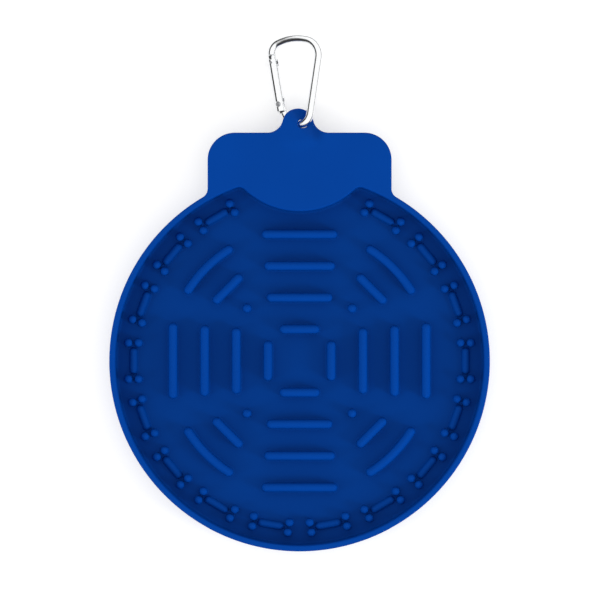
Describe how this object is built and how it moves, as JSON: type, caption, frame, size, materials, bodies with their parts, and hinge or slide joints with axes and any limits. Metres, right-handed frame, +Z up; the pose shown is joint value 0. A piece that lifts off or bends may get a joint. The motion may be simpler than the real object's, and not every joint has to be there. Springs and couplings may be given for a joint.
{
  "type": "lick mat",
  "caption": "Round silicone lick mat with a raised rim, licking ribs and bones, suction cups under it, and a hang tab whose ear carries a small spring-gate clip",
  "frame": {"origin": "centre of the round tray, on the surface that the suction cups stand on", "axes": "+Y points from the tray's centre to the hang tab and the clip; +Z points up out of the tray; +X is to the right when the tab is at the top"},
  "size_m": [0.18, 0.2448, 0.0147],
  "materials": {
    "silicone_mat": "matte moulded silicone",
    "carabiner_frame": "polished",
    "carabiner_gate": "polished",
    "hinge_rivet": "polished",
    "latch_pin": "polished",
    "gate_spring": "drawn wire",
    "spring_plunger": "turned"
  },
  "bodies": {
    "mat": {"silicone_mat": "silicone_mat"},
    "clip": {"carabiner_frame": "carabiner_frame", "hinge_rivet": "hinge_rivet"},
    "gate": {"carabiner_gate": "carabiner_gate", "latch_pin": "latch_pin", "gate_spring": "gate_spring"},
    "plunger": {"spring_plunger": "spring_plunger"}
  },
  "joints": [
    {"name": "clip_lift", "type": "hinge", "parent": "mat", "child": "clip", "pos_m": [0.0016, 0.1123, 0.01], "axis": [0.9063, 0.0098, 0.4225], "range_deg": [0, 50]},
    {"name": "gate_swing", "type": "hinge", "parent": "clip", "child": "gate", "pos_m": [-0.00931, 0.12163, 0.0047], "axis": [0.4226, -0.0209, -0.9061], "range_deg": [0, 30], "stiffness_Nm_per_rad": 0.02, "springref_deg": -28.65},
    {"name": "plunger_slide", "type": "slide", "parent": "gate", "child": "plunger", "axis": [-0.1632, 0.9816, -0.0988], "range_m": [0, 0.0006], "deforming": ["gate_spring"]}
  ],
  "couplings": [
    {"joint": "plunger_slide", "follows": "gate_swing", "m_per_rad": 0.0009}
  ]
}
